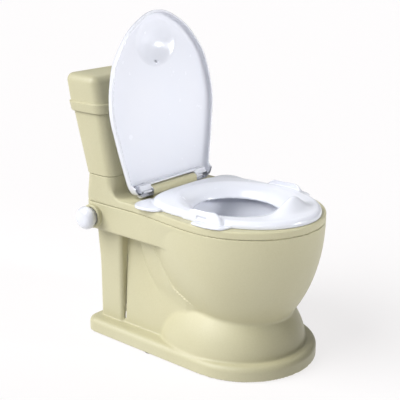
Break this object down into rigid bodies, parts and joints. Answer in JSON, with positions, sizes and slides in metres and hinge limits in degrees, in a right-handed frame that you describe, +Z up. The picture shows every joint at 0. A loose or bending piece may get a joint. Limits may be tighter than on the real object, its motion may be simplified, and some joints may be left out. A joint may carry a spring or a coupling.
{
  "type": "potty training chair",
  "caption": "Toddler potty chair shaped like a small toilet, with hinged lid, lift-off seat with splash guard, pot, press knob and storage tank.",
  "frame": {"origin": "on the floor, under the middle of the plinth, on the centre plane of the underside rib", "axes": "+Z up, -Y towards the front of the bowl, -X towards the flush knob"},
  "size_m": [0.254, 0.4017, 0.5232],
  "materials": {
    "green_plastic": "satin moulded polypropylene, sage green",
    "white_plastic": "glossy white moulded polypropylene",
    "rubber": "soft dark rubber",
    "steel": "zinc-plated steel"
  },
  "bodies": {
    "base": {"base_shell": "green_plastic", "deck": "green_plastic", "squeaker_housing": "white_plastic", "squeaker_bellows": "rubber", "return_spring": "steel", "hinge_pin_left": "steel", "hinge_pin_right": "steel", "housing_screw_1": "steel", "housing_screw_2": "steel", "deck_screw_1": "steel", "deck_screw_2": "steel", "deck_screw_3": "steel", "deck_screw_4": "steel", "foot_1": "rubber", "foot_2": "rubber", "foot_3": "rubber", "foot_4": "rubber", "foot_5": "rubber", "foot_6": "rubber"},
    "lid": {"lid": "white_plastic"},
    "seat": {"seat_ring": "white_plastic"},
    "pot": {"pot": "white_plastic"},
    "tank": {"tank_body": "green_plastic"},
    "tank_cover": {"tank_cover": "green_plastic"},
    "knob": {"flush_knob": "white_plastic", "knob_stem": "white_plastic", "stem_clip": "steel"}
  },
  "joints": [
    {"name": "lid_hinge", "type": "hinge", "parent": "base", "child": "lid", "pos_m": [0, 0.082, 0.249], "axis": [-1, 0, 0], "range_deg": [-95.5, 0]},
    {"name": "seat_lift", "type": "slide", "parent": "base", "child": "seat", "axis": [0, 0, 1], "range_m": [0, 0.16]},
    {"name": "pot_lift", "type": "slide", "parent": "base", "child": "pot", "axis": [0, 0, 1], "range_m": [0, 0.13]},
    {"name": "tank_lift", "type": "slide", "parent": "base", "child": "tank", "axis": [0, 0, 1], "range_m": [0, 0.03]},
    {"name": "cover_lift", "type": "slide", "parent": "tank", "child": "tank_cover", "axis": [0, 0.1961, 0.9806], "range_m": [0, 0.06]},
    {"name": "flush_press", "type": "slide", "parent": "base", "child": "knob", "axis": [1, 0, 0], "range_m": [0, 0.004], "stiffness_N_per_m": 150, "springref_m": -0.004, "deforming": ["return_spring", "squeaker_bellows"]}
  ],
  "couplings": [
    {"joint": "pot_lift", "follows": "seat_lift", "ratio": 0.8}
  ]
}
